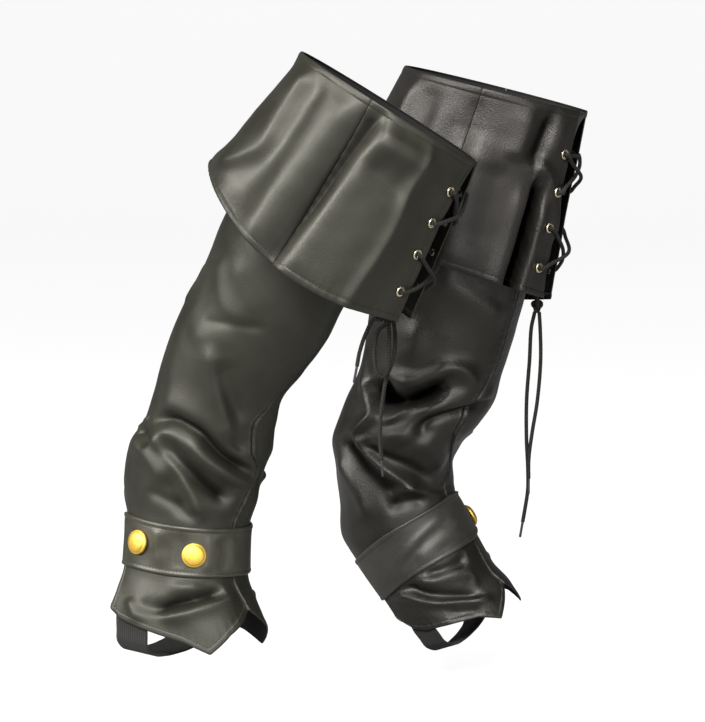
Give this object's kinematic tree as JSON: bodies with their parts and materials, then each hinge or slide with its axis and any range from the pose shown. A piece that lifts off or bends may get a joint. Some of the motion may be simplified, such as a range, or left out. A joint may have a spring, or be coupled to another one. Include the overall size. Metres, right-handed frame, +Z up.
{
  "type": "pair of boot covers",
  "caption": "Black faux-leather pirate boot covers with folded laced cuffs, buttoned ankle straps and under-arch stirrups, shown worn in a walking pose",
  "frame": {"origin": "centre of the right cover's top edge, just below the wearer's right knee", "axes": "+X is the walking direction, +Y is the wearer's left, +Z is up"},
  "size_m": [0.4349, 0.4006, 0.5701],
  "materials": {
    "shaft_leather": "semi-gloss black faux leather",
    "cuff_leather": "semi-gloss black faux leather",
    "strap_leather": "semi-gloss black faux leather",
    "elastic": "woven black elastic",
    "lace_cord": "woven black cord",
    "lace_tip": "smooth black",
    "pale_gold": "polished pale gold plate",
    "antique_gold": "domed antique gold"
  },
  "bodies": {
    "root": {"right_shaft_outer": "shaft_leather", "right_shaft_inner": "shaft_leather", "right_cuff_outer": "cuff_leather", "right_cuff_inner": "cuff_leather", "right_cuff_back": "cuff_leather", "right_strap": "strap_leather", "right_button_1": "antique_gold", "right_button_2": "antique_gold", "right_eyelet_outer_1": "pale_gold", "right_eyelet_outer_2": "pale_gold", "right_eyelet_outer_3": "pale_gold", "right_eyelet_outer_4": "pale_gold", "right_eyelet_inner_1": "pale_gold", "right_eyelet_inner_2": "pale_gold", "right_eyelet_inner_3": "pale_gold", "right_eyelet_inner_4": "pale_gold", "right_knot": "lace_cord", "right_lace": "lace_cord", "right_lace_loop": "lace_cord", "right_lace_long_end": "lace_cord", "right_lace_long_tip": "lace_tip", "right_lace_short_end": "lace_cord", "right_lace_short_tip": "lace_tip", "right_stirrup": "elastic", "left_shaft_outer": "shaft_leather", "left_shaft_inner": "shaft_leather", "left_cuff_outer": "cuff_leather", "left_cuff_inner": "cuff_leather", "left_cuff_back": "cuff_leather", "left_strap": "strap_leather", "left_button_1": "antique_gold", "left_button_2": "antique_gold", "left_eyelet_outer_1": "pale_gold", "left_eyelet_outer_2": "pale_gold", "left_eyelet_outer_3": "pale_gold", "left_eyelet_outer_4": "pale_gold", "left_eyelet_inner_1": "pale_gold", "left_eyelet_inner_2": "pale_gold", "left_eyelet_inner_3": "pale_gold", "left_eyelet_inner_4": "pale_gold", "left_knot": "lace_cord", "left_lace": "lace_cord", "left_lace_long_end": "lace_cord", "left_lace_long_tip": "lace_tip", "left_lace_short_end": "lace_cord", "left_lace_short_tip": "lace_tip", "left_stirrup": "elastic"}
  },
  "joints": []
}
